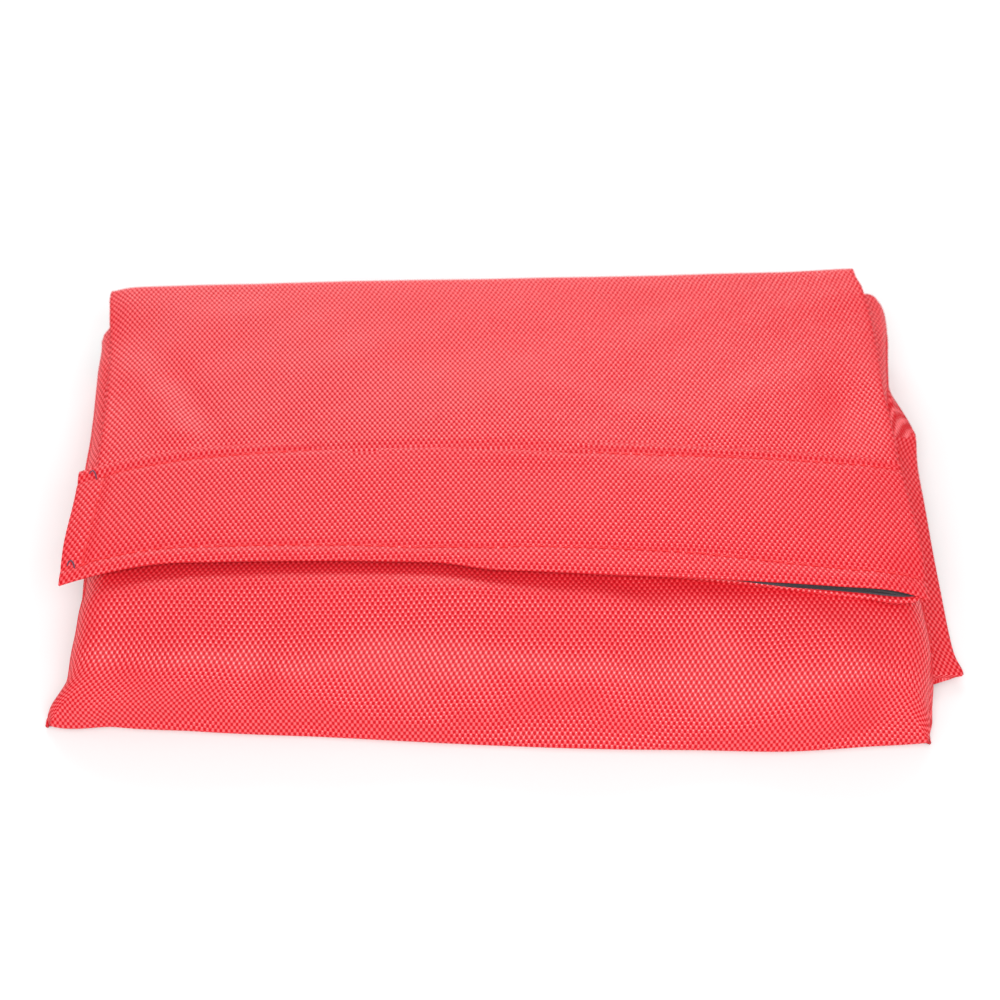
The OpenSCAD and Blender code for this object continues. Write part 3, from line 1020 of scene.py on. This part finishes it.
YARN_PITCH = (0.92, 1.38)
# Each weave below runs from its low tone, painted shade on the sunken yarns and in the gaps, to its high
# tone, painted light on the floats on top.
YARN_SHADOW = (0.52, 0.003, 0.009)
red_weave = weave("red_weave", *YARN_PITCH, YARN_SHADOW, (0.90, 0.050, 0.066), 0.19, 0.34, 1.4)
band_weave = weave("band_weave", *YARN_PITCH, YARN_SHADOW, (0.90, 0.042, 0.058), 0.19, 0.36, 1.25)
glass_weave = weave("glass_weave", 0.7, 0.7, (0.60, 0.60, 0.56), (0.86, 0.86, 0.82), 0.14, 0.6, 0.4)
red_thread = thread_material("red_thread", (0.86, 0.030, 0.030), (0.55, 0.008, 0.012))
dark_thread = thread_material("dark_thread_twist", (0.09, 0.05, 0.1), (0.02, 0.012, 0.03))
white_thread = thread_material("white_thread_twist", (0.85, 0.85, 0.82), (0.5, 0.5, 0.47))
loop_material = ribbed("loop_ribs", 1.1, (0.050, 0.046, 0.054), (0.020, 0.018, 0.022), 0.3)
hook_material = ribbed("hook_rows", 1.4, (0.035, 0.036, 0.042), (0.01, 0.01, 0.013), 0.4, 0.55, 0.5)
webbing_weave = weave("webbing_weave", 0.8, 1.6, (0.008, 0.008, 0.010), (0.035, 0.035, 0.040), 0.25, 0.6,
                      0.5)

FINISHES = {"pouch_fabric": red_weave, "band_fabric": band_weave, "pouch_thread": red_thread,
            "dark_thread": dark_thread, "loop_pile": loop_material, "hook_pile": hook_material,
            "glass_cloth": glass_weave, "white_thread": white_thread, "webbing": webbing_weave}
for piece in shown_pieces():
    if piece.get("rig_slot") in FINISHES:
        piece.data.materials.clear()
        piece.data.materials.append(FINISHES[piece["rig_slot"]])


# ---------------------------------------------------------------- cloth that crosses the joints

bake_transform(back_cloth)
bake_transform(flap_cloth)


# ---------------------------------------------------------------- floor, light and camera

FLOOR_HALF = 6
FLOOR_LIGHTING = (0.93, 0.93, 0.93)
FLOOR_SEEN = (0.76, 0.76, 0.76)
floor_mesh = bpy.data.meshes.new("floor")
floor_corners = [(a * FLOOR_HALF, b * FLOOR_HALF, 0) for a, b in ((-1, -1), (1, -1), (1, 1), (-1, 1))]
floor_mesh.from_pydata(floor_corners, [], [(0, 1, 2, 3)])
floor = bpy.data.objects.new("floor", floor_mesh)
bpy.context.scene.collection.objects.link(floor)
floor_look = Graph("floor_white")
ray = floor_look.tree.nodes.new("ShaderNodeLightPath")
white = floor_look.mix(ray.outputs["Is Camera Ray"], FLOOR_LIGHTING, FLOOR_SEEN)
floor.data.materials.append(floor_look.finish(white, 0.9, 0.0, 0.0))
floor.location.z = -0.0002

world = bpy.data.worlds.new("studio")
bpy.context.scene.world = world
world.use_nodes = True
sky = world.node_tree.nodes["Background"]
sky.inputs["Color"].default_value = (1, 1, 1, 1)
sky.inputs["Strength"].default_value = 0.66


def softbox(name, place, size, power):
    """A rectangular light that faces the object."""
    light = bpy.data.lights.new(name, "AREA")
    light.shape = "RECTANGLE"
    light.size, light.size_y = size
    light.energy = power
    lamp = bpy.data.objects.new(name, light)
    lamp.location = place
    lamp.rotation_euler = (-Vector(place)).to_track_quat("-Z", "Y").to_euler()
    bpy.context.scene.collection.objects.link(lamp)


softbox("rear_light", (-0.1, 1.4, 0.76), (1.5, 0.5), 14)
softbox("front_light", (0.02, -0.8, 1.05), (1.3, 0.5), 15.5)

TARGET = Vector((0, -0.018, 0.034))
ELEVATION = math.radians(50)
ROLL = math.radians(0.7)
DISTANCE = 0.585
focus = bpy.data.objects.new("focus_point", None)
focus.location = (0, -0.06, 0.02)
bpy.context.scene.collection.objects.link(focus)
camera_data = bpy.data.cameras.new("camera")
camera_data.sensor_width = 36
camera_data.lens = 60.6
camera_data.clip_start = 0.01
camera_data.dof.use_dof = True
camera_data.dof.aperture_fstop = 11
camera_data.dof.focus_object = focus
camera = bpy.data.objects.new("camera", camera_data)
bpy.context.scene.collection.objects.link(camera)
back = Vector((0, -math.cos(ELEVATION), math.sin(ELEVATION)))
right = Vector((1, 0, 0))
up = back.cross(right)
rolled_right = right * math.cos(ROLL) - up * math.sin(ROLL)
rolled_up = right * math.sin(ROLL) + up * math.cos(ROLL)
turn = Matrix((rolled_right, rolled_up, back)).transposed()
camera.matrix_world = Matrix.Translation(TARGET + back * DISTANCE) @ turn.to_4x4()
bpy.context.scene.camera = camera
bpy.context.scene.view_settings.view_transform = "Standard"
